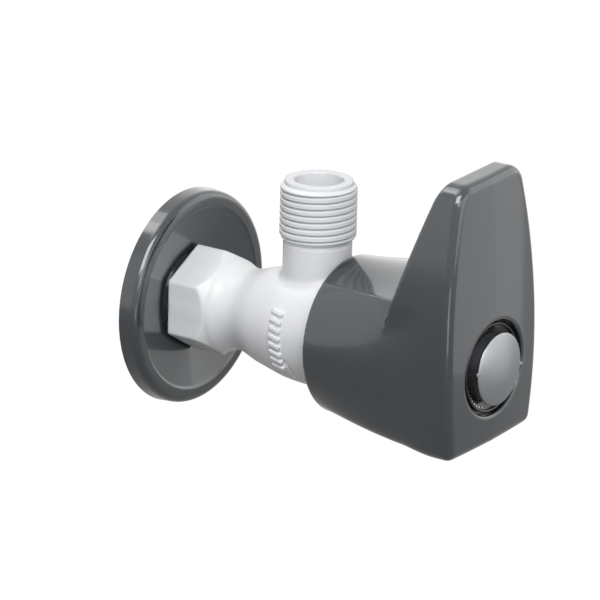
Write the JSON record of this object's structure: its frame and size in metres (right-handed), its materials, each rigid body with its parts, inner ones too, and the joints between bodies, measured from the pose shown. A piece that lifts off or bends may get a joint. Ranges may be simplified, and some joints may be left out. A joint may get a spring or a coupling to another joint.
{
  "type": "angle cock",
  "caption": "Moulded angle cock with a threaded inlet, a sliding wall flange, a threaded outlet pointing up, a ceramic disc headwork and a quarter-turn wing handle.",
  "frame": {"origin": "on the main axis, in the plane of the wall flange's back face, which is the finished wall", "axes": "+Y along the inlet into the wall, so the handle is at -Y; +Z along the outlet, which points up; +X to the right seen from the front"},
  "size_m": [0.0602, 0.1204, 0.0846],
  "materials": {
    "white_plastic": "glossy moulded plastic",
    "grey_plastic": "glossy dark grey moulded plastic",
    "black_plastic": "glossy black plastic",
    "chrome": "satin chrome plate",
    "brass": "turned brass",
    "stainless": "plain stainless steel",
    "white_ceramic": "lapped alumina",
    "black_rubber": "moulded rubber",
    "white_nylon": "natural acetal"
  },
  "bodies": {
    "valve_body": {"body": "white_plastic", "cartridge_housing": "brass", "cartridge_o_ring": "black_rubber", "seat_seal": "black_rubber", "seal_support_ring": "stainless", "fixed_disc": "white_ceramic"},
    "handle_set": {"spindle": "brass", "thrust_washer": "white_nylon", "spindle_o_ring_inner": "black_rubber", "spindle_o_ring_outer": "black_rubber", "moving_disc": "white_ceramic", "stop_ring": "white_nylon", "circlip": "stainless", "spline_bush": "brass", "handle": "grey_plastic", "handle_screw": "stainless", "screw_washer": "stainless", "indicator_ring": "black_plastic", "button_cap": "chrome"},
    "flange_set": {"wall_flange": "grey_plastic"}
  },
  "joints": [
    {"name": "handle_turn", "type": "hinge", "parent": "valve_body", "child": "handle_set", "pos_m": [0, -0.08, 0], "axis": [0, -1, 0], "range_deg": [0, 90]},
    {"name": "flange_slide", "type": "slide", "parent": "valve_body", "child": "flange_set", "axis": [0, 1, 0], "range_m": [0, 0.01]}
  ]
}
